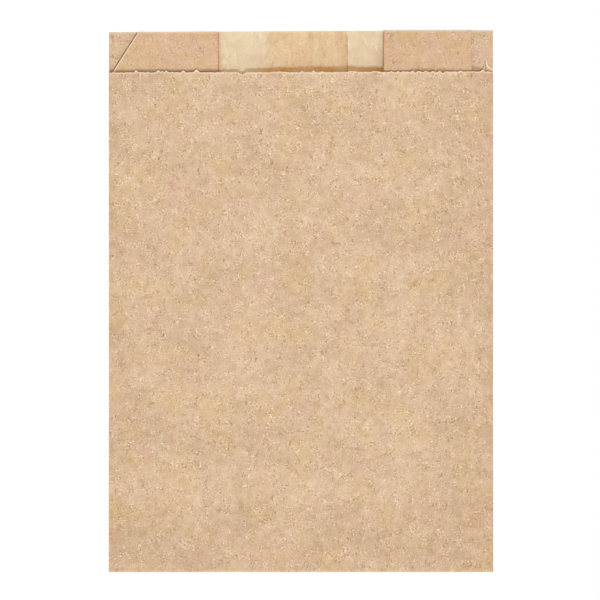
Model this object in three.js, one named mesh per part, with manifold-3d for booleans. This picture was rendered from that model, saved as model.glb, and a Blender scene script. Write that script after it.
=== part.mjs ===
// A flat paper bread bag with side gussets, folded and pasted from one sheet of kraft paper.
// Millimetres, +Z up. The bag lies on its seamed back: +Y points to the mouth, +X is across it,
// and the plain front panel faces up. The origin is the middle of the footprint, on the table.
//
// The sheet is followed round the tube from the free edge of the seam's inner flap:
// back panel, side fold, left gusset (back leaf, inner fold, front leaf), side fold, front panel,
// and the same again down the right side to the free edge of the seam's outer flap.
// Its bottom end is turned under the back and pasted there. Its mouth end is left open.
import * as THREE from "three";
import { mergeVertices } from "three/addons/utils/BufferGeometryUtils.js";
import Module from "manifold-3d";

// Driving dimensions of the bag
const bagWidth = 175; // across the flat bag, side fold to side fold
const frontLength = 227.4; // bottom fold to the toothed top edge of the front panel
const lipHeight = 19.4; // the back stands this far past the front at the mouth, at its highest
const gussetDepth = 50; // how far each side is folded in
const paperThickness = 0.08;
const foldGap = 0.12; // air left between two sheets pressed on each other at a fold

// Lengthways seam in the back panel
const seamOverlap = 36.8; // the inner flap lies this far over the outer flap
const seamCentre = 3.5; // the seam lies a little right of the middle
const seamPasteInset = 3; // the paste stops this far short of each flap's free edge
const pasteFilm = 0.02; // thickness of the dried paste between the flaps
const pasteBite = 0.005; // how deep the paste soaks into the paper
const joggleRun = 3; // length over which the inner flap steps up on to the outer one

// Bottom turn-up
const turnUpLength = 31; // the pasted flap under the back
const turnUpRadius = 0.04; // inside radius of the bottom fold
const turnUpPasteInset = 4; // the paste stops this far from the fold and from the cut edge
const turnUpSideInset = 8; // and this far from the side folds
const turnUpJoggleInset = 1; // and this far from the step in the seam

// How the paper has sprung open: pressed flat over the turn-up, and parting ever more steeply
// towards the mouth, which gapes in a low arch
const springDelay = 3; // the panels begin to part this far past the turn-up's cut edge
const backDropRun = 40; // length over which the back comes down to the table from the turn-up
const sideLift = 0.6; // how far the front's side folds stand off the back's at the mouth
const bellyLift = 5.2; // how much higher the front panel stands at the top of the arch
const bellyCentre = 13; // the arch is highest a little right of the middle
const bellyHalfWidth = 74;
const leafDrop = 0.4; // how far each gusset hangs below the front panel at its inner fold

// Cut edges
const toothPitch = 3.15; // of the saw-toothed knife
const frontToothDepth = 0.7;
const bottomToothDepth = 0.9;
const lipSkew = 0.9; // the back lip is cut this much out of square, shorter on the left
const leftCutTop = 13.7; // the left gusset's slanting cut meets the lip this far from the side
const leftCutBottom = 1.9; // and it meets the front panel's edge this far from the side
const rightTearIn = 10.5; // the right gusset's front leaf is torn down this far from the side
const tearSlant = 0.4; // how far that tear leans
const tabFoot = 5; // a small torn tab is left by the right side fold: its foot,
const tabTip = 3.4; // its tip, both measured from the side,
const tabHeight = 4.8; // and its height above the front panel's edge
const tabSideHeight = 1.4; // its height at the side fold

// Fineness of the mesh
const foldSteps = 4; // facets round each side and inner fold
const bottomFoldSteps = 4; // an even number, so that one facet corner is at the very end
const edgeBand = 3.5; // width of the band that carries the teeth
const lipRows = 2; // rows from the last of those to each sheet's own toothed band
const panelStep = 14; // widest facet across a panel
const dropRows = 3; // rows over which the back comes down to the table
const springRows = 4; // rows from there to the front panel's toothed band

const bagLength = frontLength + lipHeight;
const halfWidth = bagWidth / 2;
const sheetPitch = paperThickness + foldGap;
const foldRadius = sheetPitch / 2;
const sideFoldX = halfWidth - paperThickness / 2 - foldRadius;
const innerFoldX = halfWidth - gussetDepth + paperThickness / 2 + foldRadius;
const pressedBack = paperThickness / 2;
const pressedFront = pressedBack + 3 * sheetPitch;
const stackHeight = pressedFront + paperThickness / 2;
const innerFlapEdge = seamCentre + seamOverlap / 2;
const outerFlapEdge = seamCentre - seamOverlap / 2;
const bottomFoldLength = Math.PI * turnUpRadius;
const bottomFoldY = -bagLength / 2 + turnUpRadius + stackHeight;
const bottomFoldZ = turnUpRadius + stackHeight;
const mouthOffset = turnUpRadius + stackHeight; // the bottom fold's own share of the bag's length
const springStart = turnUpLength + springDelay;
const tinyStep = 0.01;

const mix = (a, b, t) => a + (b - a) * t;
const smooth = (t) => {
  const k = Math.min(1, Math.max(0, t));
  return k * k * (3 - 2 * k);
};
const range = (count) => Array.from({ length: count }, (_, i) => i);

// Where each panel is cut at the mouth, as a distance from the bottom fold
const frontCut = () => frontLength - mouthOffset;
const lipCut = (x) => frontCut() + lipHeight - lipSkew * (0.5 - x / bagWidth);

// Shape of the sprung bag. x is across it, v is along it from the bottom fold. The lift grows
// with the square of the way to the front panel's cut edge, and runs on straight past it.
const spring = (v) => {
  const share = Math.max(0, (v - springStart) / (frontCut() - springStart));
  return share < 1 ? share * share : 2 * share - 1;
};
const belly = (x) => {
  const q = Math.min(1, Math.abs(x - bellyCentre) / bellyHalfWidth);
  return (1 - q * q) ** 2;
};
const inward = (x) => (sideFoldX - Math.abs(x)) / (sideFoldX - innerFoldX);
const frontAt = (x, v) => pressedFront + spring(v) * (sideLift + bellyLift * belly(x));
const frontLeafAt = (x, v) => frontAt(x, v) - sheetPitch - spring(v) * leafDrop * inward(x);
const backLeafAt = (x, v) =>
  frontLeafAt(x, v) - sheetPitch - spring(v) * sideLift * (1 - inward(x)) ** 2;
const outerFlapAt = () => pressedBack;
const innerFlapAt = (x) =>
  pressedBack + (paperThickness + pasteFilm) * smooth((x - outerFlapEdge + joggleRun) / joggleRun);

// Slanting cuts and tears, as corners at x and v
const alongLine = (x, points) => {
  const i = points.findIndex(([px], k) => k > 0 && x <= px);
  const [[x0, v0], [x1, v1]] = [points[i - 1], points[i]];
  return mix(v0, v1, (x - x0) / (x1 - x0));
};
const leftCut = [
  [-halfWidth, frontCut()],
  [-halfWidth + leftCutBottom, frontCut()],
  [-halfWidth + leftCutTop, lipCut(-halfWidth + leftCutTop)],
  [0, lipCut(0)],
];
const rightTear = [
  [0, lipCut(0)],
  [halfWidth - rightTearIn - tearSlant, lipCut(halfWidth - rightTearIn - tearSlant)],
  [halfWidth - rightTearIn, frontCut()],
  [halfWidth - tabFoot, frontCut()],
  [halfWidth - tabTip, frontCut() + tabHeight],
  [halfWidth, frontCut() + tabSideHeight],
];
const cornerXs = [...leftCut, ...rightTear].map(([x]) => x);

// The panels of the sheet, in order round the tube
const panels = [
  { from: innerFlapEdge, to: -sideFoldX, height: innerFlapAt, cut: lipCut, flat: true },
  { from: -sideFoldX, to: -innerFoldX, height: backLeafAt, cut: lipCut },
  { from: -innerFoldX, to: -sideFoldX, height: frontLeafAt, cut: (x) => alongLine(x, leftCut) },
  { from: -sideFoldX, to: sideFoldX, height: frontAt, cut: frontCut, toothed: true },
  { from: sideFoldX, to: innerFoldX, height: frontLeafAt, cut: (x) => alongLine(x, rightTear) },
  { from: innerFoldX, to: sideFoldX, height: backLeafAt, cut: lipCut },
  { from: sideFoldX, to: outerFlapEdge, height: outerFlapAt, cut: lipCut, flat: true },
];

// The lines that every curved panel is faceted on, so that sheets on each other stay parallel
const panelLines = () => {
  const stops = [-sideFoldX, -innerFoldX, innerFoldX, sideFoldX];
  const lines = stops.slice(1).flatMap((stop, i) => {
    const start = stops[i];
    const steps = Math.ceil((stop - start) / panelStep);
    return range(steps).map((k) => mix(start, stop, k / steps));
  });
  return [...lines, sideFoldX, ...cornerXs];
};
const joggleMiddle = outerFlapEdge - joggleRun / 2;
const backLines = [-innerFoldX, outerFlapEdge - joggleRun, joggleMiddle, outerFlapEdge, innerFoldX];
// The notches of a saw-toothed cut across a panel. A tooth stands between each two of them.
const notchesAcross = (panel) => {
  const middle = (panel.from + panel.to) / 2;
  const count = Math.floor((Math.abs(panel.to - panel.from) / toothPitch - 1) / 2);
  return range(2 * count + 1).map((k) => middle + (k - count) * toothPitch);
};
const toothTips = (panel) => notchesAcross(panel).slice(1).map((x) => x - toothPitch / 2);

// Stations round the tube, each with u, its distance along the sheet. A station knows its place
// in the bag's cross-section at v: x, the height h, and the sheet's outward normal there.
const near = (a, b) => Math.abs(a - b) < tinyStep;
const stationsOf = (panel, u0, lines, tips) => {
  const way = Math.sign(panel.to - panel.from);
  const [low, high] = [Math.min(panel.from, panel.to), Math.max(panel.from, panel.to)];
  const inside = [...lines, ...tips].filter((x) => x > low + tinyStep && x < high - tinyStep);
  const xs = [low, ...inside, high].sort((a, b) => (a - b) * way);
  return xs
    .filter((x, i) => i === 0 || !near(x, xs[i - 1]))
    .map((x) => ({
      u: u0 + Math.abs(x - panel.from),
      x,
      way,
      cut: panel.cut(x),
      tip: tips.some((tip) => near(x, tip)),
      at: (v) => {
        const h = panel.height(x, v);
        const slope = (panel.height(x + tinyStep, v) - panel.height(x - tinyStep, v)) / (2 * tinyStep);
        const size = Math.hypot(1, slope);
        return { x, h, nx: (-way * slope) / size, nh: way / size };
      },
    }));
};
const foldStations = (before, after, u0) =>
  range(foldSteps - 1).map((k) => {
    const share = (k + 1) / foldSteps;
    const way = Math.sign(before.to - before.from);
    return {
      u: u0 + Math.PI * foldRadius * share,
      x: before.to,
      way,
      cut: mix(before.cut(before.to), after.cut(after.from), share),
      tip: false,
      at: (v) => {
        const [h0, h1] = [before.height(before.to, v), after.height(after.from, v)];
        const up = Math.sign(h1 - h0);
        const angle = up * Math.PI * (share - 0.5);
        const radius = Math.abs(h1 - h0) / 2;
        return {
          x: before.to + way * radius * Math.cos(angle),
          h: (h0 + h1) / 2 + radius * Math.sin(angle),
          nx: -up * Math.cos(angle),
          nh: -up * way * Math.sin(angle),
        };
      },
    };
  });
const roundTheTube = (linesOf, tipsOf) => {
  const stations = [];
  let u = 0;
  panels.forEach((panel, i) => {
    stations.push(...stationsOf(panel, u, linesOf(panel), tipsOf(panel)));
    u += Math.abs(panel.to - panel.from);
    if (i < panels.length - 1) {
      stations.push(...foldStations(panel, panels[i + 1], u));
      u += Math.PI * foldRadius;
    }
  });
  return stations;
};

// A point at x and height h of the cross-section, carried along the bag to v: level in the body,
// round the bottom fold where v is just below 0, and back under the body in the turn-up.
const settle = (v) => smooth((v - springStart) / backDropRun);
const carry = (x, h, v) => {
  if (v >= 0) return [x, bottomFoldY + v, (bottomFoldZ + turnUpRadius) * (1 - settle(v)) + h];
  if (v <= -bottomFoldLength)
    return [x, bottomFoldY - v - bottomFoldLength, bottomFoldZ - turnUpRadius - h];
  const angle = (Math.PI * -v) / bottomFoldLength;
  const radius = turnUpRadius + h;
  return [x, bottomFoldY - radius * Math.sin(angle), bottomFoldZ + radius * Math.cos(angle)];
};
const skinPoint = (station, v, offset) => {
  const { x, h, nx, nh } = station.at(Math.max(v, 0));
  return carry(x + nx * offset, h + nh * offset, v);
};

// Rows along the bag, from the band at the turn-up's cut edge to the band at the mouth
const turnUpEdge = -bottomFoldLength - turnUpLength;
const settled = springStart + backDropRun;
const springStep = (frontCut() - edgeBand - settled) / springRows;
const fixedRows = [
  turnUpEdge + edgeBand,
  ...range(bottomFoldSteps + 1).map((k) => -bottomFoldLength * (1 - k / bottomFoldSteps)),
  springStart / 2,
  ...range(dropRows).map((k) => springStart + (backDropRun * k) / dropRows),
  ...range(springRows).map((k) => settled + springStep * k),
];
const rowsAt = (station) => {
  const last = fixedRows.at(-1);
  const toBand = station.cut - edgeBand - last;
  return [...fixedRows, ...range(lipRows).map((k) => last + (toBand * (k + 1)) / lipRows)];
};

// The whole sheet as one closed skin: its outer and inner faces, and the cut edges between them
const makeSheet = () => {
  const curved = panelLines();
  const linesOf = (panel) => (panel.flat ? backLines : curved);
  const noTips = () => [];
  const coarse = roundTheTube(linesOf, noTips);
  const mouth = roundTheTube(
    (panel) => (panel.toothed ? notchesAcross(panel) : linesOf(panel)),
    (panel) => (panel.toothed ? toothTips(panel) : []),
  );
  const bottom = roundTheTube(
    (panel) => [...notchesAcross(panel), ...(panel.flat ? backLines : [])],
    toothTips,
  );

  const outer = [];
  const inner = [];
  const addPoint = (station, v) => {
    outer.push(skinPoint(station, v, paperThickness / 2));
    inner.push(skinPoint(station, v, -paperThickness / 2));
    return { u: station.u, index: outer.length - 1, way: station.way, tip: station.tip };
  };
  const bottomChain = bottom.map((s) => addPoint(s, turnUpEdge + (s.tip ? 0 : bottomToothDepth)));
  const columns = coarse.map((s) => rowsAt(s).map((v) => addPoint(s, v)));
  const mouthChain = mouth.map((s) => addPoint(s, s.cut + (s.tip ? frontToothDepth : 0)));

  const faces = [];
  // A triangle on the outer skin and its mirror on the inner one
  const bothSkins = (a, b, c) => {
    const count = outer.length;
    faces.push([a, b, c], [a + count, c + count, b + count]);
  };
  const rim = (a, b) => {
    const [c, d] = [a + outer.length, b + outer.length];
    faces.push([b, a, c], [b, c, d]);
  };
  // Joins two rows of points that both run along u, each time across the shorter diagonal
  const stitch = (low, high) => {
    let [i, j] = [0, 0];
    const across = (a, b) => (a && b ? Math.abs(a.u - b.u) : Infinity);
    while (i < low.length - 1 || j < high.length - 1) {
      const lowFirst = across(low[i + 1], high[j]) < across(low[i], high[j + 1]);
      if (lowFirst) bothSkins(low[i].index, low[i + 1].index, high[j].index);
      else bothSkins(low[i].index, high[j + 1].index, high[j].index);
      if (lowFirst) i += 1;
      else j += 1;
    }
  };

  const between = (chain) => chain.filter((p) => !p.tip);
  stitch(between(bottomChain), columns.map((column) => column[0]));
  bottomChain.forEach((p, i) => {
    if (p.tip) bothSkins(p.index, bottomChain[i + 1].index, bottomChain[i - 1].index);
  });
  columns.slice(1).forEach((right, i) => {
    const left = columns[i];
    range(left.length - 1).forEach((k) => {
      const [a, b, c, d] = [left[k], right[k], right[k + 1], left[k + 1]].map((p) => p.index);
      // Sheets that lie on each other are split on the same diagonal, whichever way they run
      if (right[k].way > 0) {
        bothSkins(a, b, c);
        bothSkins(a, c, d);
      } else {
        bothSkins(a, b, d);
        bothSkins(b, c, d);
      }
    });
  });
  stitch(columns.map((column) => column.at(-1)), between(mouthChain));
  mouthChain.forEach((p, i) => {
    if (p.tip) bothSkins(p.index, mouthChain[i - 1].index, mouthChain[i + 1].index);
  });

  const edgeLoop = [
    ...bottomChain,
    ...columns.at(-1),
    ...[...mouthChain].reverse(),
    ...[...columns[0]].reverse(),
  ].map((p) => p.index);
  edgeLoop.forEach((index, i) => rim(index, edgeLoop[(i + 1) % edgeLoop.length]));
  return { points: [...outer, ...inner], faces };
};

const wasm = await Module();
wasm.setup();

const solidFrom = (vertProperties, triVerts) =>
  new wasm.Manifold(new wasm.Mesh({ numProp: 3, vertProperties, triVerts }));
const sheetSolid = () => {
  const { points, faces } = makeSheet();
  return solidFrom(new Float32Array(points.flat()), new Uint32Array(faces.flat()));
};

// A thin strip of dried paste, from x0 to x1. Its side outline follows the given rows of the
// sheet, between two heights of the cross-section.
const pasteStrip = (x0, x1, rows, low, high) => {
  const lineAt = (h) => rows.map((v) => new THREE.Vector2(...carry(0, h, v).slice(1)));
  const outline = new THREE.Shape([...lineAt(low), ...lineAt(high).reverse()]);
  const strip = new THREE.ExtrudeGeometry(outline, { depth: x1 - x0, bevelEnabled: false });
  const [acrossX, alongY, upZ] = [0, 1, 2].map((axis) => new THREE.Vector3().setComponent(axis, 1));
  strip.applyMatrix4(new THREE.Matrix4().makeBasis(alongY, upZ, acrossX));
  strip.translate(x0, 0, 0);
  strip.deleteAttribute("normal");
  strip.deleteAttribute("uv");
  const merged = mergeVertices(strip);
  return solidFrom(new Float32Array(merged.attributes.position.array), new Uint32Array(merged.index.array));
};

const seamPaste = () => {
  const [x0, x1] = [outerFlapEdge + seamPasteInset, innerFlapEdge - seamPasteInset];
  const rows = [...fixedRows, lipCut(x0) - seamPasteInset];
  const base = pressedBack + paperThickness / 2;
  return pasteStrip(x0, x1, rows, base - pasteBite, base + pasteFilm + pasteBite);
};

// The turn-up is pasted on both sides of the step in the seam
const turnUpPastes = () => {
  const reach = halfWidth - turnUpSideInset;
  const leftStrip = [-reach, outerFlapEdge - joggleRun - turnUpJoggleInset];
  const rightStrip = [outerFlapEdge + turnUpJoggleInset, reach];
  const rows = [turnUpPasteInset, turnUpLength - turnUpPasteInset];
  return [leftStrip, rightStrip].map(([x0, x1]) =>
    pasteStrip(x0, x1, rows, -2 * turnUpRadius - pasteBite, pasteBite),
  );
};

const geometryOf = (solid) => {
  const made = solid.getMesh();
  const geometry = new THREE.BufferGeometry();
  geometry.setAttribute("position", new THREE.BufferAttribute(made.vertProperties, 3));
  geometry.setIndex(new THREE.BufferAttribute(made.triVerts, 1));
  geometry.computeVertexNormals();
  return geometry;
};

const kraftPaper = new THREE.MeshStandardMaterial({
  name: "kraft_paper",
  color: 0xdabb9a,
  roughness: 0.9,
  metalness: 0,
});

const pastedBag = [seamPaste(), ...turnUpPastes()].reduce(
  (solid, paste) => solid.add(paste),
  sheetSolid(),
);
const bag = new THREE.Mesh(geometryOf(pastedBag), kraftPaper);
bag.name = "bag";

const breadBag = new THREE.Group();
breadBag.add(bag);

export default breadBag;
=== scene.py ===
import math

import bpy
import numpy as np
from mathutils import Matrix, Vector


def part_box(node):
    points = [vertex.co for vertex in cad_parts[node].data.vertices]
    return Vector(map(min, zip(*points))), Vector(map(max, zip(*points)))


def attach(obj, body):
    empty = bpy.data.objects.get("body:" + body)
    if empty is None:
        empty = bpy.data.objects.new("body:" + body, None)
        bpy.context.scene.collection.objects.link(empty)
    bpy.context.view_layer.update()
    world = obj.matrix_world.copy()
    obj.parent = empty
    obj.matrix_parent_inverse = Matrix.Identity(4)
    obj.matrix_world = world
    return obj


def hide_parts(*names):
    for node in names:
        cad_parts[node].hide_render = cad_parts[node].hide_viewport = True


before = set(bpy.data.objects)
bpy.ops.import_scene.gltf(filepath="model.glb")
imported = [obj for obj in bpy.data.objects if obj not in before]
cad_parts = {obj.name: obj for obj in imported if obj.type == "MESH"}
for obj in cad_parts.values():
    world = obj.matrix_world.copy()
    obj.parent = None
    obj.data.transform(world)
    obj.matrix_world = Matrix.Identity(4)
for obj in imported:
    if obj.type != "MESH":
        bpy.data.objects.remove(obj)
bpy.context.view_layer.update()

# The folded sheet. The bag is one blank of light brown kraft paper, folded into a flat tube with a
# gusset down each side, pasted along a lap seam in its back, then turned up and pasted at the
# bottom. Sizes are in millimetres; +Y is towards the mouth and the plain front faces +Z.
MM = 0.001
low, high = (np.array(corner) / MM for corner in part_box("bag"))
bag_width, bag_length, bag_height = high - low
half_width = bag_width / 2

front_length = 227.4
lip_height = bag_length - front_length
gusset_depth = 50.0
paper = 0.08
fold_gap = 0.12
sheet_pitch = paper + fold_gap
fold_radius = sheet_pitch / 2

# Pressed flat, the front lies on a gusset's two leaves and the back, three sheets in all
side_fold = half_width - paper / 2 - fold_radius
inner_fold = half_width - gusset_depth + paper / 2 + fold_radius
pressed_back = paper / 2
pressed_front = pressed_back + 3 * sheet_pitch
stack = pressed_front + paper / 2

seam_overlap = 36.1
seam_centre = 3.15
inner_flap_edge = seam_centre + seam_overlap / 2
outer_flap_edge = seam_centre - seam_overlap / 2
paste_film = 0.075
joggle_run = 3.0

turn_up = 31.0
turn_up_radius = 0.04
bottom_fold_length = math.pi * turn_up_radius
bottom_y = low[1] + turn_up_radius + stack
bottom_z = turn_up_radius + stack
front_cut = front_length - turn_up_radius - stack


# How the paper has sprung open. It is pressed flat over the turn-up. From there the front panel
# lifts ever more steeply, up to a low arch at the mouth, and takes the gussets with it.
spring_start = turn_up + 3
back_drop_run = 40.0
side_lift = 0.6
arch_lift = bag_height - stack - side_lift
arch_centre = 13.0
arch_reach_left = 66.0
arch_reach_right = 74.0
leaf_drop = 0.4
sag_start = 12.0
leaf_sag = 0.9


def smooth(t):
    """Cubic step from 0 to 1: 3 t squared less 2 t cubed, with t held between 0 and 1."""
    t = np.clip(t, 0, 1)
    return t * t * (3 - 2 * t)


def spring(v):
    """Square of the share of the way to the front's cut edge, straight on past it."""
    share = np.maximum(0, (v - spring_start) / (front_cut - spring_start))
    return np.where(share < 1, share**2, 2 * share - 1)


def arch(x):
    """Arch across the bag: (1 - q squared) squared, with q the distance from its top over its reach."""
    reach = np.where(x < arch_centre, arch_reach_left, arch_reach_right)
    q = np.clip(np.abs(x - arch_centre) / reach, 0, 1)
    return (1 - q * q) ** 2


def ripple(x, y, wavelength, seed, waves=7):
    """Uneven field, about -1 to 1: a sum of sines of near wavelengths that run in random directions."""
    rng = np.random.default_rng(seed)
    field = np.zeros(np.broadcast(x, y).shape)
    for _ in range(waves):
        turn, start = rng.uniform(0, 2 * math.pi, 2)
        length = wavelength * rng.uniform(0.7, 1.5)
        way = x * math.cos(turn) + y * math.sin(turn)
        field += np.sin(2 * math.pi * way / length + start)
    return field / math.sqrt(waves)


# Buckles of the sprung front and gussets: height, wavelength and random seed of each set
buckles = [(0.16, 60, 11), (0.05, 22, 12)]


def buckle(x, v):
    """Ripples times root shares that are nil at the side folds and over the turn-up."""
    free = np.clip(1 - np.abs(x) / side_fold, 0, 1) ** 0.5 * np.clip(spring(v), 0, 1) ** 0.5
    return free * sum(height * ripple(x, v, wavelength, seed) for height, wavelength, seed in buckles)


# Puckers that the drying paste has drawn in the seam. They are short across it and longer along it.
pucker_height = 0.16
pucker_length = 9.0
pucker_squeeze = 1.6
pucker_stretch = 0.7
pucker_peak = 1.6
pucker_growth = 60.0
seam_margin = 2.0
seam_run = 5.0


def cockle(x, v):
    """A ripple held between 0 and its peak, so upwards only, times smooth shares at the seam's ends."""
    in_seam = smooth((x - outer_flap_edge + seam_margin) / seam_run)
    in_seam = in_seam * smooth((inner_flap_edge - x + seam_margin) / seam_run)
    wave = ripple(x * pucker_squeeze, v * pucker_stretch, pucker_length, 21)
    pucker = np.clip(0.5 + 0.5 * wave, 0, pucker_peak)
    return in_seam * smooth((v - spring_start) / pucker_growth) * pucker_height * pucker


def front_height(x, v):
    """Pressed height, plus the spring times the side's lift and the arch, plus the buckles."""
    return pressed_front + spring(v) * (side_lift + arch_lift * arch(x)) + buckle(x, v)


def inward(x):
    """0 at the side fold and 1 at the gusset's inner fold."""
    return (side_fold - np.abs(x)) / (side_fold - inner_fold)


def front_leaf_height(x, v):
    """Under the front panel, and sinking away from it by a squared share near and past its cut edge."""
    past = np.maximum(0, (v - front_cut + sag_start) / (lip_height + sag_start))
    sag = leaf_sag * past**2 * arch_lift * arch(x)
    return front_height(x, v) - sheet_pitch - spring(v) * leaf_drop * inward(x) - sag


def back_leaf_height(x, v):
    """One sheet below the front leaf, and lower towards the side fold by a squared share."""
    return front_leaf_height(x, v) - sheet_pitch - spring(v) * side_lift * (1 - inward(x)) ** 2


def outer_flap_height(x, v):
    """Flat on the table, plus the seam's puckers."""
    return pressed_back + cockle(x, v)


def inner_flap_height(x, v):
    """As the outer flap, plus a smooth step over the joggle, by one sheet and the paste."""
    step = smooth((x - outer_flap_edge + joggle_run) / joggle_run)
    return pressed_back + (paper + paste_film) * step + cockle(x, v)


# The cut edges at the mouth. A saw-toothed knife cut the front panel, blunt in places, so that
# its edge is nearly straight with a few tips and one stretch of clear teeth.
knife_rise = 0.16
knife_skew = 0.25
arch_pull = 0.68
tooth_pitch = 3.15
tooth_height = 1.2
tooth_root_share = 0.45
worn_share = 0.16
clear_from, clear_to, clear_run = 46.5, 67.5, 3.0
fringe_height = 0.06
fibre_height = 0.5
fibre_threshold = 0.9
tip_crown = 1.25
# Tips along the front edge: middle across the bag, height and half width
edge_tips = [
    (-75.0, 1.1, 0.7),
    (-64.9, 1.0, 0.9),
    (-63.2, 0.7, 0.6),
    (-61.2, 0.8, 0.6),
    (-53.6, 0.8, 0.8),
    (-47.5, 1.1, 1.3),
    (-26.7, -0.95, 1.8),
    (-10.2, 0.25, 3.0),
    (0.6, 0.55, 0.6),
    (5.6, 0.7, 0.7),
    (9.3, 0.35, 0.6),
    (23.2, 0.45, 2.4),
    (34.2, 0.3, 1.5),
    (72.5, 0.4, 0.8),
    (82.6, 0.9, 0.8),
]


def knife_line(x):
    """Straight slant, less a pull towards the bottom in proportion to the arch."""
    return front_cut + knife_rise + knife_skew * x / half_width - arch_pull * arch(x)


def saw(x, wobble, rate):
    """Triangle wave from 0 to 1 over the tooth pitch, with x shifted by a wobbling sine."""
    phase = (x + wobble * np.sin(x * rate)) / tooth_pitch
    return 1 - 2 * np.abs(phase - np.round(phase))


def front_edge(x):
    """Knife line, plus blunt triangles for the tips, plus the saw where it is clear, plus a fringe."""
    edge = knife_line(x)
    for middle, height, half in edge_tips:
        edge = edge + height * np.clip(tip_crown - np.abs(x - middle) / half, 0, 1)
    clear = smooth((x - clear_from) / clear_run) * smooth((clear_to - x) / clear_run)
    worn = worn_share + (1 - worn_share) * clear
    teeth = worn * tooth_height * (saw(x, 0.25, 1.7) - tooth_root_share) * (0.8 + 0.3 * np.sin(x * 0.9))
    fringe = fringe_height * ripple(x, 0 * x, 1.6, 31)
    fibres = fibre_height * np.maximum(0, ripple(x, 0 * x, 2.6, 33) - fibre_threshold)
    return edge + teeth + (fringe + fibres)


# The back's lip runs on past the front. Its inner flap has a rounded free corner.
lip_skew = 0.9
lip_wobble = 0.03
flap_corner = 1.6
flap_corner_drop = 1.2


def lip_edge(x):
    """Straight slant down to the left, plus a slight ripple."""
    line = front_cut + lip_height - lip_skew * (0.5 - x / bag_width)
    return line + lip_wobble * ripple(x, 0 * x, 2.5, 32)


def flap_edge(x):
    """The lip's line, less the cube of the share of the way across the free corner."""
    corner = np.clip((x - inner_flap_edge + flap_corner) / flap_corner, 0, 1)
    return lip_edge(x) - flap_corner * flap_corner_drop * corner**3


# Corners of the gussets' front leaves at the mouth. The left one is cut off at a slant, and the
# right one is torn down, with a small tab left over beside the side fold.
left_cut = [
    (-half_width, front_cut),
    (-half_width + 1.9, front_cut),
    (-half_width + 13.7, front_cut + lip_height - lip_skew * 0.92),
]
right_tear = [
    (half_width - 9.8, front_cut + lip_height),
    (half_width - 10.3, front_cut + 0.3),
    (half_width - 7.0, front_cut + 0.1),
    (half_width - 5.0, front_cut + 0.2),
    (half_width - 3.4, front_cut + 5.6),
    (half_width - 2.4, front_cut + 3.2),
    (half_width, front_cut + 1.4),
]


def left_leaf_edge(x):
    """Straight lines between the corners of the slanting cut, and no further than the lip."""
    xs, vs = zip(*left_cut)
    return np.minimum(lip_edge(x), np.interp(x, xs, vs))


def right_leaf_edge(x):
    """Straight lines between the corners of the tear, and no further than the lip."""
    xs, vs = zip(*right_tear)
    return np.minimum(lip_edge(x), np.interp(x, xs, vs))


# The sheet's panels, followed round the tube from the inner flap's free edge: where each starts
# and ends across the bag, its height, its cut edge at the mouth, how far apart its columns are,
# and the places of more columns, at the corners of the cuts and close together in the tab.
slant_columns = [x for x, _ in left_cut[1:]]
tear_columns = [x for x, _ in right_tear[:-1]]
tab_columns = np.arange(82.1, side_fold - 0.3, 0.4)
flap_columns = np.array([0, 0.3, 0.6, 0.9, 1.2])
panels = [
    (inner_flap_edge, -side_fold, inner_flap_height, flap_edge, 1.5, slant_columns),
    (-side_fold, -inner_fold, back_leaf_height, lip_edge, 2.2, []),
    (-inner_fold, -side_fold, front_leaf_height, left_leaf_edge, 1.6, slant_columns),
    (-side_fold, side_fold, front_height, front_edge, 0.52, []),
    (side_fold, inner_fold, front_leaf_height, right_leaf_edge, 1.6, [*tear_columns, *tab_columns]),
    (inner_fold, side_fold, back_leaf_height, lip_edge, 2.2, []),
    (side_fold, outer_flap_edge, outer_flap_height, lip_edge, 1.8, []),
]
inner_flap, left_back_leaf, left_front_leaf, front, right_front_leaf, right_back_leaf, outer_flap = range(7)
fold_facets = 6

# Rows at distances from the mouth's cut edge, in the body, round the bottom fold and in the turn-up
mouth_rows = [0, 0.3, 0.6, 1, 1.5, 2.1, 2.8, 3.6, 4.5, 5.5, 6.6, 7.8, 9, 10.3, 11.6, 13, 14.5, 16]
mouth_rows += [18, 20.5, 24]
mouth_start = 196.0
low_rows = [0.7, 1.6, 3, 5, 8, 12, 17, 23, 28, 31.5, 34, 37]
body_rows = np.concatenate([low_rows, np.arange(41, mouth_start, 7.6)])
turn_up_rows = [0, 0.4, 0.9, 1.6, 2.6, 4, 6.5, 10, 15, 21, 27, 30, 30.7]
bottom_facets = 8


def panel_columns(start, end, spacing, more):
    """Even columns across a panel, closer at the inner flap's free corner, with more in their places."""
    xs = np.linspace(start, end, max(2, round(abs(end - start) / spacing)) + 1)
    if start == inner_flap_edge:
        xs = np.concatenate([start - flap_columns, xs[xs < start - flap_columns[-1] - 0.2]])
    xs = np.unique(np.concatenate([xs, more]))
    return xs if end > start else xs[::-1]


def flat_columns(panel, v_of):
    """x, height and way v of one panel's points, as columns by rows, and the columns' widths."""
    start, end, height, cut, spacing, more = panel
    x = panel_columns(start, end, spacing, more)
    v = v_of(cut(x))
    h = height(x[:, None], np.maximum(v, 0))
    return np.broadcast_to(x[:, None], v.shape), h, v, np.abs(np.gradient(x))


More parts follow.
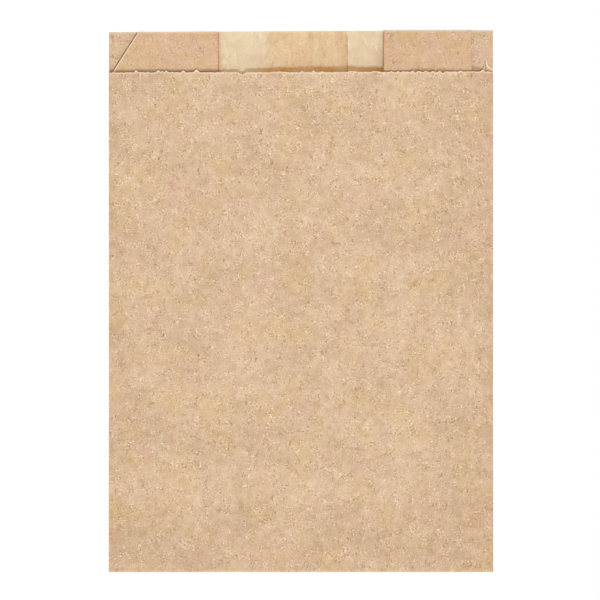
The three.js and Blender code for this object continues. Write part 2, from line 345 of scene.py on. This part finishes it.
def fold_columns(before, after, v_of):
    """The same for a fold: a half circle from one panel's height to the next one's, past their ends."""
    start, end, height_before, cut_before = before[:4]
    height_after, cut_after = after[2:4]
    x = np.full(fold_facets - 1, end)
    share = np.arange(1, fold_facets) / fold_facets
    v = v_of(cut_before(x) * (1 - share) + cut_after(x) * share)
    h0 = height_before(x[:, None], np.maximum(v, 0))
    h1 = height_after(x[:, None], np.maximum(v, 0))
    angle = np.sign(h1 - h0) * math.pi * (share[:, None] - 0.5)
    radius = np.abs(h1 - h0) / 2
    bulge = x[:, None] + np.sign(end - start) * radius * np.cos(angle)
    width = np.full(len(x), math.pi * fold_radius / fold_facets)
    return bulge, (h0 + h1) / 2 + radius * np.sin(angle), v, width


def sheet_rows(edge):
    """v of every row, for columns that are cut off at edge; the mouth's rows stretch to reach it."""
    turned = -bottom_fold_length - turn_up + np.array(turn_up_rows)
    round_fold = -bottom_fold_length * (1 - np.arange(bottom_facets + 1) / bottom_facets)
    lower = np.concatenate([turned, round_fold, body_rows])
    stretch = (edge[:, None] - mouth_start) / (front_cut - mouth_start)
    upper = edge[:, None] - np.array(mouth_rows[::-1]) * stretch
    return np.concatenate([np.broadcast_to(lower, (len(edge), len(lower))), upper], axis=1)


blocks = []
for index, panel in enumerate(panels):
    blocks.append(flat_columns(panel, sheet_rows))
    if index < len(panels) - 1:
        blocks.append(fold_columns(panel, panels[index + 1], sheet_rows))
across, height, along = (np.concatenate([block[k] for block in blocks]) for k in range(3))
column_widths = np.concatenate([block[3] for block in blocks])
# Which panel each column is in; a fold's columns are halfway between the numbers of two panels
on_panel = np.concatenate([np.full(len(block[0]), k / 2) for k, block in enumerate(blocks)])[:, None]

# The same kind of knife cut the turn-up's free edge. Its teeth show on the outermost sheet, the
# front panel's, and the sheets that it covers end at the bottom of the teeth.
turn_up_tooth = 0.9
turn_up_tooth_run = 10.0
turn_up_side_run = 1.5
from_turn_up_edge = along + bottom_fold_length + turn_up
turn_up_teeth = saw(across, 0.2, 1.3) * (on_panel == front)
turn_up_teeth *= np.clip((half_width - np.abs(across)) / turn_up_side_run, 0, 1)
cut_back = turn_up_tooth * (1 - turn_up_teeth)
along = along + cut_back * np.clip(1 - from_turn_up_edge / turn_up_tooth_run, 0, 1)


def carry(x, h, v):
    """Point of the folded sheet, for a place x across, a height h and a way v along the panels.

    Where v is 0 or more it is level, and settles from the turn-up's thickness on to the table.
    Round the bottom fold it is on a circle, and past that it comes back under the body.
    """
    settle = smooth((v - spring_start) / back_drop_run)
    angle = math.pi * np.clip(-v / bottom_fold_length, 0, 1)
    reach = turn_up_radius + h
    body_z = (bottom_z + turn_up_radius) * (1 - settle) + h
    y = np.where(v >= 0, bottom_y + v, bottom_y - reach * np.sin(angle))
    z = np.where(v >= 0, body_z, bottom_z + reach * np.cos(angle))
    past = v < -bottom_fold_length
    y = np.where(past, bottom_y - v - bottom_fold_length, y)
    z = np.where(past, bottom_z - turn_up_radius - h, z)
    return np.stack([x, y, z], axis=-1)


# The cuts curl up, each by its height times e to the power of minus the distance from the cut over
# its reach. The front panel's curls most, and so do the gussets' slanted and torn corners.
front_curl_height, front_curl_reach = 1.0, 1.6
front_curl_side_run, front_curl_least = 5.0, 0.12
leaf_curl_height, slant_curl_height, tear_curl_height = 0.2, 1.5, 0.5
left_curl_reach, slant_curl_reach, tear_curl_reach = 1.0, 4.0, 1.3
to_cut = along[:, -1:] - along
to_side = half_width - np.abs(across)
front_curl = front_curl_height * np.exp(-to_cut / front_curl_reach)
front_curl *= np.clip(to_side / front_curl_side_run, front_curl_least, 1)
clear_of_front = smooth((along - front_cut - 0.3) / 2.5) * np.clip(to_side / 2, 0, 1)
slanted = smooth((-across - 70) / 6)
torn = smooth((across - 75) / 3)
left_curl = leaf_curl_height + slant_curl_height * slanted
left_curl = left_curl * np.exp(-to_cut / (left_curl_reach + slant_curl_reach * slanted))
right_curl = (leaf_curl_height + tear_curl_height * torn) * np.exp(-to_cut / tear_curl_reach)
leaf_curl = left_curl * (on_panel == left_front_leaf) + right_curl * (on_panel == right_front_leaf)
curl = front_curl * (on_panel == front) + leaf_curl * clear_of_front
middle = carry(across, height + curl * (along > 0), along)


def along_axis(points, axis):
    """Sum of the two unit steps that meet at each point of a row or column."""
    step = np.diff(points, axis=axis)
    step /= np.linalg.norm(step, axis=-1, keepdims=True) + 1e-12
    first, last = step.take([0], axis), step.take([-1], axis)
    return np.concatenate([first, step], axis) + np.concatenate([step, last], axis)


# The sheet's two skins stand half its thickness out from its middle, along the cross product of
# the steps across and along, and a rim of quads joins them round the blank's free edges.
outward = np.cross(along_axis(middle, 0), along_axis(middle, 1))
outward /= np.linalg.norm(outward, axis=-1, keepdims=True)
outer_skin = middle + outward * paper / 2
inner_skin = middle - outward * paper / 2
columns, rows = along.shape
count = columns * rows
points = np.concatenate([outer_skin.reshape(-1, 3), inner_skin.reshape(-1, 3)]) * MM

grid = np.arange(count).reshape(columns, rows)
quads = np.stack([grid[:-1, :-1], grid[1:, :-1], grid[1:, 1:], grid[:-1, 1:]], axis=-1).reshape(-1, 4)
loop = np.concatenate([grid[:-1, 0], grid[-1, :-1], grid[:0:-1, -1], grid[0, :0:-1]])
following = np.roll(loop, -1)
rims = np.stack([following, loop, loop + count, following + count], axis=-1)
faces = np.concatenate([quads, quads[:, ::-1] + count, rims])

mesh = bpy.data.meshes.new("folded_paper")
mesh.from_pydata(points, [], faces.tolist())
mesh.polygons.foreach_set("use_smooth", np.arange(len(faces)) < 2 * len(quads))
folded_paper = bpy.data.objects.new("folded_paper", mesh)
bpy.context.scene.collection.objects.link(folded_paper)

# Place on the unfolded blank, for the paper's pattern: distance round the tube and along it, with
# the inner skin's pattern a metre further on
round_tube = np.cumsum(column_widths)[:, None] + 0 * along
blank = np.stack([round_tube, along], axis=-1).reshape(-1, 2) * MM
blank = np.concatenate([blank, blank + [0, 1]])
corners = np.empty(len(mesh.loops), dtype=np.int32)
mesh.loops.foreach_get("vertex_index", corners)
mesh.uv_layers.new(name="blank").data.foreach_set("uv", blank[corners].ravel())


def vertex_values(name, outer, inner):
    """Attribute of the mesh's points, from values or arrays for the outer and the inner skin."""
    values = np.concatenate([np.broadcast_to(v, along.shape).ravel() for v in (outer, inner)])
    mesh.attributes.new(name, "FLOAT", "POINT").data.foreach_set("value", values.astype(np.float32))


# Painted light of the white ground showing through: one sheet lets most through, the lap seam's two sheets
# less
hidden_wobble = 0.45
back_panel = np.isin(on_panel, (inner_flap, outer_flap))
window = smooth((inner_fold + 0.2 - np.abs(across)) / 0.4)
hidden_edge = outer_flap_edge + hidden_wobble * ripple(0 * along, along, 7, 41) + 0.1
two_sheets = smooth((across - hidden_edge + 0.8) / 1.6) * (on_panel == inner_flap)
vertex_values("single", 0, back_panel * window * (1 - two_sheets))
vertex_values("pasted", 0, back_panel * window * two_sheets)

# Pale fibre along the cuts, with a painted highlight, by the square distance from the cut: whole tips of
# the front's edge, a wider edge round the gusset's tab and little along the tear
fray_share, fray_on_tear, fray_on_tab = 0.75, -0.55, 0.85
fray_reach, fray_reach_on_tab = 0.45, 0.1
column_run = np.abs(np.gradient(across[:, -1])) + 1e-3
column_rise = np.abs(np.gradient(along[:, -1]))
from_cut = to_cut * (column_run / np.hypot(column_run, column_rise))[:, None]
on_tip = np.clip((along - knife_line(across) - 0.22) / 0.3, 0, 1) * (on_panel == front)
on_tab = (on_panel == right_front_leaf) * smooth((across - 83.7) / 0.5)
on_tear = (on_panel == right_front_leaf) * smooth((across - 74) / 2)
fray_and_highlight = fray_share + fray_on_tear * on_tear + fray_on_tab * on_tab
fray_and_highlight = fray_and_highlight * np.exp(-((from_cut / (fray_reach + fray_reach_on_tab * on_tab)) ** 2))
cut_fibre_and_highlight = np.maximum(fray_and_highlight, on_tip) * (along > 0)
vertex_values("cut", cut_fibre_and_highlight, cut_fibre_and_highlight)
vertex_values("inside", 0, 1)

# Distance from the gussets' inner folds, which the right one's dark line starts nearer to
dark_line_shift = 0.12
leaf_and_fold = (left_front_leaf - 0.5, left_front_leaf, right_front_leaf, right_front_leaf + 0.5)
far = 99
to_fold = np.where(np.isin(on_panel, leaf_and_fold), np.abs(np.abs(across) - inner_fold), far)
vertex_values("to_fold", far, to_fold + dark_line_shift * (across > 0))

# Painted shade on the front: darker over the turn-up, where more layers below let less light through,
# and softly towards the side folds. A short line is pressed into the front where the torn leaf ends under
# it.
dim_over_turn_up, dim_at_side, dim_in_line = 0.032, 0.045, 0.13
dim_side_reach = 14.0
pressed_line_x, pressed_line_reach, pressed_line_length = 77.3, 0.4, 6.0
over_turn_up = smooth((turn_up + 2.2 - along) / 4.4) * (along > 0)
pressed_line = np.exp(-(((across - pressed_line_x) / pressed_line_reach) ** 2))
pressed_line = pressed_line * smooth((along - front_cut + pressed_line_length) / 3)
shade_and_pressed_line = dim_over_turn_up * over_turn_up + dim_at_side * np.exp(-to_side / dim_side_reach)
vertex_values("shade_and_pressed_line", (shade_and_pressed_line + dim_in_line * pressed_line) * (on_panel == front), 0)
flap_line = np.exp(-np.abs(across - inner_flap_edge) / 0.5) * (on_panel == inner_flap)
vertex_values("lap_line", 0, flap_line)

# Shade of the sheet above: how far past its end a point is, in millimetres. The back's inside has
# warm shade, where what light there is has come through the paper, and the gussets have dark lines.
past_cut = along - front_cut
front_shade = 0.45 + 0.38 * (front_height(across, front_cut) + 0.4)
behind_teeth = 2.0 - 0.35 * smooth((-74 - across) / 4) - 0.2 * smooth((across - 67) / 3)
behind_teeth = behind_teeth - 0.9 * (on_panel == right_front_leaf) * smooth((53 - across) / 8)
foot, top = np.array(left_cut[1]), np.array(left_cut[2])
slant_x, slant_v = (top - foot) / np.linalg.norm(top - foot)
left_of_cut = (along - foot[1]) * slant_x - (across - foot[0]) * slant_v
corner_shade = np.minimum(left_of_cut - 1.2, past_cut - 1.6 + 4 * smooth((across + 84) / 2))
torn_shade = np.minimum(past_cut - 3.45 + 1.4 * smooth((across - 80) / 2.5), across - 77.45)
past_shade = np.where(back_panel, past_cut - front_shade, past_cut - behind_teeth)
past_shade = np.where(on_panel == left_back_leaf, corner_shade, past_shade)
past_shade = np.where(on_panel == right_back_leaf, torn_shade, past_shade)
vertex_values("past_shade", past_shade, past_shade)
vertex_values("warm_shade", 0, back_panel * window * smooth((past_cut + 30) / 20))
paler = 0.35 * smooth((across - 14) / 3) * smooth((29 - across) / 4)
vertex_values("towards_middle", 0, smooth((across + 27) / 14) - paler)
near_front = past_cut > -6
leaf_nook = np.isin(on_panel, (left_front_leaf, right_front_leaf)) * near_front
corner_nook = np.isin(on_panel, (left_back_leaf, right_back_leaf)) * near_front
on_right = across > 0
vertex_values("nook_shade", corner_nook * np.where(on_right, 0.5, 1), leaf_nook * np.where(on_right, 0.58, 0.75))


# Kraft paper. Brown unbleached pulp, rough and matt, with pale and dark specks, short fibres and
# soft clouds of pinker and yellower tone; torn and cut edges show paler fibre with a painted highlight.
class Wire:
    """A socket of a material's node tree. An expression on wires and numbers adds its Math nodes."""

    def __init__(self, socket):
        self.socket = socket

    def node(self, kind, settings, inputs, output=0):
        """New node of this wire's tree, with its settings first and then its sockets' values or links."""
        tree = self.socket.id_data
        made = tree.nodes.new(kind)
        for name, value in settings.items():
            setattr(made, name, value)
        for key, value in inputs.items():
            if isinstance(value, Wire):
                tree.links.new(value.socket, made.inputs[key])
            else:
                made.inputs[key].default_value = value
        return Wire(made.outputs[output])

    def math(self, operation, *values):
        """Math node of the given operation on the given values."""
        return self.node("ShaderNodeMath", {"operation": operation}, dict(enumerate(values)))

    def __add__(self, other):
        return self.math("ADD", self, other)

    def __radd__(self, other):
        return self.math("ADD", other, self)

    def __sub__(self, other):
        return self.math("SUBTRACT", self, other)

    def __rsub__(self, other):
        return self.math("SUBTRACT", other, self)

    def __mul__(self, other):
        return self.math("MULTIPLY", self, other)

    def __rmul__(self, other):
        return self.math("MULTIPLY", other, self)

    def step(self, start, end, to=1.0):
        """Smooth step from 0 at start to the given value at end."""
        inputs = {"Value": self, "From Min": start, "From Max": end, "To Max": to}
        return self.node("ShaderNodeMapRange", {"interpolation_type": "SMOOTHSTEP"}, inputs)

    def blend(self, base, other):
        """Colour between base and other, by this wire's value."""
        settings = {"data_type": "RGBA", "clamp_factor": True}
        return self.node("ShaderNodeMix", settings, {0: self, 6: base, 7: other}, 2)


kraft = bpy.data.materials.new("kraft_paper")
kraft.use_nodes = True
tree = kraft.node_tree
shader = tree.nodes["Principled BSDF"]
place = Wire(tree.nodes.new("ShaderNodeUVMap").outputs["UV"])
place.socket.node.uv_map = "blank"


def srgb(red, green, blue):
    """Linear colour of a screen colour given from 0 to 255."""
    parts = (c / 255 for c in (red, green, blue))
    return (*(c / 12.92 if c <= 0.04045 else ((c + 0.055) / 1.055) ** 2.4 for c in parts), 1.0)


def noise(place, size, detail=2.0, roughness=0.5, distortion=0.0):
    """Noise with features of about size millimetres on the blank."""
    inputs = {"Vector": place, "Scale": 1 / (size * MM), "Detail": detail, "Roughness": roughness}
    return place.node("ShaderNodeTexNoise", {}, inputs | {"Distortion": distortion})


def spots(place, spacing, shift):
    """Round spots about spacing millimetres apart: 1 near the random points of a Voronoi texture."""
    moved = place.node("ShaderNodeMapping", {}, {"Vector": place, "Location": (shift, shift, 0.0)})
    cells = moved.node("ShaderNodeTexVoronoi", {}, {"Vector": moved, "Scale": 1 / (spacing * MM)})
    return 1 - cells.step(0.06, 0.26)


def lines(field, level):
    """1 along the line where a noise field has the given level, and 0 a little off it."""
    off = field - level
    return 1 - off.math("ABSOLUTE", off).step(0.015, 0.045)


def vertex_wire(name):
    """The value of one of the mesh's attributes."""
    return place.node("ShaderNodeAttribute", {"attribute_name": name}, {}, 2)


def brighten(colour, amount):
    """Colour plus an amount, a little less of it in green and blue, as pale and dark fibres look."""
    inputs = {0: amount, 1: (0.85, 0.82, 0.68), 2: colour}
    return colour.node("ShaderNodeVectorMath", {"operation": "MULTIPLY_ADD"}, inputs)


# Soft clouds of the pulp, and the warmer inside of the gussets
stretched = place.node("ShaderNodeMapping", {}, {"Vector": place, "Scale": (1.0, 0.4, 1.0)})
clouds = noise(place, 24, 3.0, 0.55)
pink = noise(stretched, 8, 3.0, 0.5).step(0.42, 0.72)
yellow = noise(place, 17, 3.0, 0.5, 0.3).step(0.42, 0.7)
tone = clouds.step(0.3, 0.7).blend(srgb(214, 184, 151), srgb(222, 191, 159))
tone = (pink * 0.75).blend(tone, srgb(220, 182, 156))
tone = (yellow * 0.72).blend(tone, srgb(220, 187, 143))
leaf_tone = noise(place, 9, 2.0, 0.5).step(0.34, 0.66).blend(srgb(219, 181, 149), srgb(221, 180, 133))
tone = (vertex_wire("inside") * 0.6).blend(tone, leaf_tone)

# The back's inside: cream where one sheet lies on the white ground and tan where the seam has two, with
# the white ground's light through them painted in
single = vertex_wire("single")
pasted = vertex_wire("pasted")
long = place.node("ShaderNodeMapping", {}, {"Vector": place, "Scale": (1.0, 0.3, 1.0)})
streaks = noise(long, 4.5, 2.0, 0.5, 1.8).step(0.4, 0.65)
cream = noise(long, 7, 2.0, 0.5).step(0.35, 0.65).blend(srgb(238, 218, 180), srgb(233, 208, 171))
cream = (pink * 0.6).blend(cream, srgb(232, 203, 174))
tan = streaks.blend(srgb(235, 205, 163), srgb(228, 192, 148))
tan = (noise(long, 8, 2.0, 0.5, 0.5).step(0.5, 0.65) * 0.6).blend(tan, srgb(224, 181, 138))
tone = (single * 0.92).blend(tone, cream)
tone = (pasted * 0.9).blend(tone, tan)
pale_mark = noise(long, 2.6, 1.0, 0.5, 0.5).step(0.6, 0.7)
tone = (single * pale_mark * 0.45).blend(tone, srgb(248, 232, 204))

# Warm shade behind the front's edge, and the lines along the lap and the gussets' folds
in_shade = 1 - vertex_wire("past_shade").step(-0.9, 0.0)
shade_tone = vertex_wire("towards_middle").blend(srgb(255, 231, 190), srgb(250, 191, 110))
shade_tone = (noise(place, 11, 1.0, 0.5).step(0.45, 0.6) * 0.6).blend(shade_tone, srgb(255, 212, 172))
tone = (vertex_wire("warm_shade") * in_shade * 0.9).blend(tone, shade_tone)
tone = (vertex_wire("lap_line") * 0.75).blend(tone, srgb(190, 140, 88))
off_fold = vertex_wire("to_fold")
tone = ((1 - off_fold.step(0.4, 1.8)) * 0.35).blend(tone, srgb(228, 168, 130))
tone = ((1 - off_fold.step(0.0, 0.34)) * 0.8).blend(tone, srgb(152, 104, 66))

# Speckle and short fibres, gathered in patches and calmer inside, then specks and spots on top
blotch = noise(place, 3.2, 2.0, 0.5)
grain = noise(place, 0.85, 2.0, 0.5)
fine_grain = noise(place, 0.5, 1.0, 0.5)
rough_patch = noise(place, 5, 2.0, 0.5).step(0.36, 0.64)
thread = noise(place, 4, 1.0, 0.5, 0.8)
broken = noise(place, 2.2, 1.0, 0.5).step(0.5, 0.58)
pale_thread = lines(thread, 0.5) * broken
dark_thread = lines(thread, 0.43) * broken
calm = 1 - vertex_wire("inside") * 0.28
contrast = (1 - single * 0.55 - pasted * 0.35) * calm * (0.35 + rough_patch * 0.95)
speckle = (grain - 0.5) * 0.42 + (fine_grain - 0.5) * 0.42 + pale_thread * 0.1 - dark_thread * 0.1
mottle = (blotch - 0.5) * 0.26 + (noise(place, 6, 1.0, 0.5) - 0.5) * 0.14 + (clouds - 0.5) * 0.12
# Speckle and mottle, less the painted shade and the pressed line on the front
tone = brighten(tone, speckle * contrast + mottle * calm - vertex_wire("shade_and_pressed_line"))
pale_speck = noise(place, 0.95, 1.0, 0.5, 0.4).step(0.64, 0.74)
dark_speck = noise(stretched, 1.15, 1.0, 0.5, 0.6).step(0.64, 0.74)
tone = (pale_speck * contrast * 0.55).blend(tone, srgb(250, 232, 206))
tone = (dark_speck * contrast * 0.55).blend(tone, srgb(168, 128, 92))
tone = (spots(place, 1.7, 0.3) * contrast * 0.8).blend(tone, srgb(252, 234, 210))
tone = (spots(place, 1.8, 0.7) * contrast * 0.72).blend(tone, srgb(160, 124, 92))
# Painted shade: dark lines in the gussets' nooks, behind the sheet above
tone = (vertex_wire("nook_shade") * in_shade * 0.75).blend(tone, srgb(138, 92, 56))
# Pale fibre and a painted highlight along the cut edges
tone = (vertex_wire("cut") * 0.95).blend(tone, srgb(255, 236, 208))

relief = grain * 0.6 + pale_speck * 0.3 - dark_speck * 0.3 + blotch * 0.4 + pale_thread * 0.2
bump = place.node("ShaderNodeBump", {}, {"Strength": 0.9, "Distance": 0.12 * MM, "Height": relief})
tree.links.new(tone.socket, shader.inputs["Base Color"])
tree.links.new(bump.socket, shader.inputs["Normal"])
tree.links.new((grain * 0.1 + 0.82).socket, shader.inputs["Roughness"])
shader.inputs["Specular IOR Level"].default_value = 0.25
mesh.materials.append(kraft)

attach(folded_paper, "root")
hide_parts("bag")


# The table. A plain white top, seen from straight above, on which the bag throws its soft shadow.
# To the camera it glows just enough to be white, without more light on the bag.
table_reach = 2.0
table_z = -0.03 * MM
table_corners = [(-1, -1), (1, -1), (1, 1), (-1, 1)]
table_mesh = bpy.data.meshes.new("table")
table_points = [(x * table_reach, y * table_reach, table_z) for x, y in table_corners]
table_mesh.from_pydata(table_points, [], [(0, 1, 2, 3)])
table = bpy.data.objects.new("table", table_mesh)
bpy.context.scene.collection.objects.link(table)


def seen_rays(nodes):
    """1 for rays from the camera, from mirror surfaces and through glass, and 0 for all others."""
    rays = nodes.new("ShaderNodeLightPath")
    seen = Wire(rays.outputs["Is Camera Ray"])
    seen = seen.math("MAXIMUM", seen, Wire(rays.outputs["Is Glossy Ray"]))
    return seen.math("MAXIMUM", seen, Wire(rays.outputs["Is Transmission Ray"]))


glow_share = 0.85
white = bpy.data.materials.new("white_table")
white.use_nodes = True
table_nodes = white.node_tree.nodes
table_shader = table_nodes["Principled BSDF"]
table_shader.inputs["Base Color"].default_value = (0.9, 0.9, 0.9, 1)
table_shader.inputs["Roughness"].default_value = 0.9
glow = table_nodes.new("ShaderNodeEmission")
glow.inputs["Strength"].default_value = 1.03
seen = seen_rays(table_nodes)
surfaces = {0: seen * glow_share, 1: Wire(table_shader.outputs[0]), 2: Wire(glow.outputs[0])}
either = seen.node("ShaderNodeMixShader", {}, surfaces)
white.node_tree.links.new(either.socket, table_nodes["Material Output"].inputs["Surface"])
table_mesh.materials.append(white)


# The studio. Even white light comes from all round, and a soft key light from the bottom's side and
# a little from the right. Their shares add up to about 1 on a level sheet.
fill_share = 0.655
key_share = 0.34
key_elevation = math.radians(65)
key_turn = math.radians(9)
key_softness = math.radians(9)
world = bpy.data.worlds.new("studio")
bpy.context.scene.world = world
world.use_nodes = True
sky = world.node_tree.nodes["Background"]
sky.inputs["Color"].default_value = (1, 1, 1, 1)
sky_strength = seen_rays(world.node_tree.nodes) * (1 - fill_share) + fill_share
world.node_tree.links.new(sky_strength.socket, sky.inputs["Strength"])

key = bpy.data.lights.new("key", "SUN")
key.energy = key_share * math.pi / math.sin(key_elevation)
key.angle = key_softness
key_light = bpy.data.objects.new("key", key)
key_light.rotation_euler = (math.pi / 2 - key_elevation, 0, key_turn)
bpy.context.scene.collection.objects.link(key_light)


# The camera. It looks straight down, with a long lens, from where the bag fills the same part of
# the picture as in the photograph: the bag's four sides are at these pixels.
picture = 600
bag_left, bag_right = 108.4, 493.6
bag_top, bag_bottom = 30.3, 571.8
per_pixel = bag_width / (bag_right - bag_left)
camera_data = bpy.data.cameras.new("camera")
camera_data.lens = 135.0
camera_data.sensor_width = 36.0
camera = bpy.data.objects.new("camera", camera_data)
centre_x = (picture - bag_left - bag_right) / 2 * per_pixel
centre_y = (bag_top + bag_bottom - picture) / 2 * per_pixel
distance = picture * per_pixel * camera_data.lens / camera_data.sensor_width
camera.location = (centre_x * MM, centre_y * MM, (distance + bag_height / 2) * MM)
bpy.context.scene.collection.objects.link(camera)
bpy.context.scene.camera = camera
bpy.context.scene.view_settings.view_transform = "Standard"
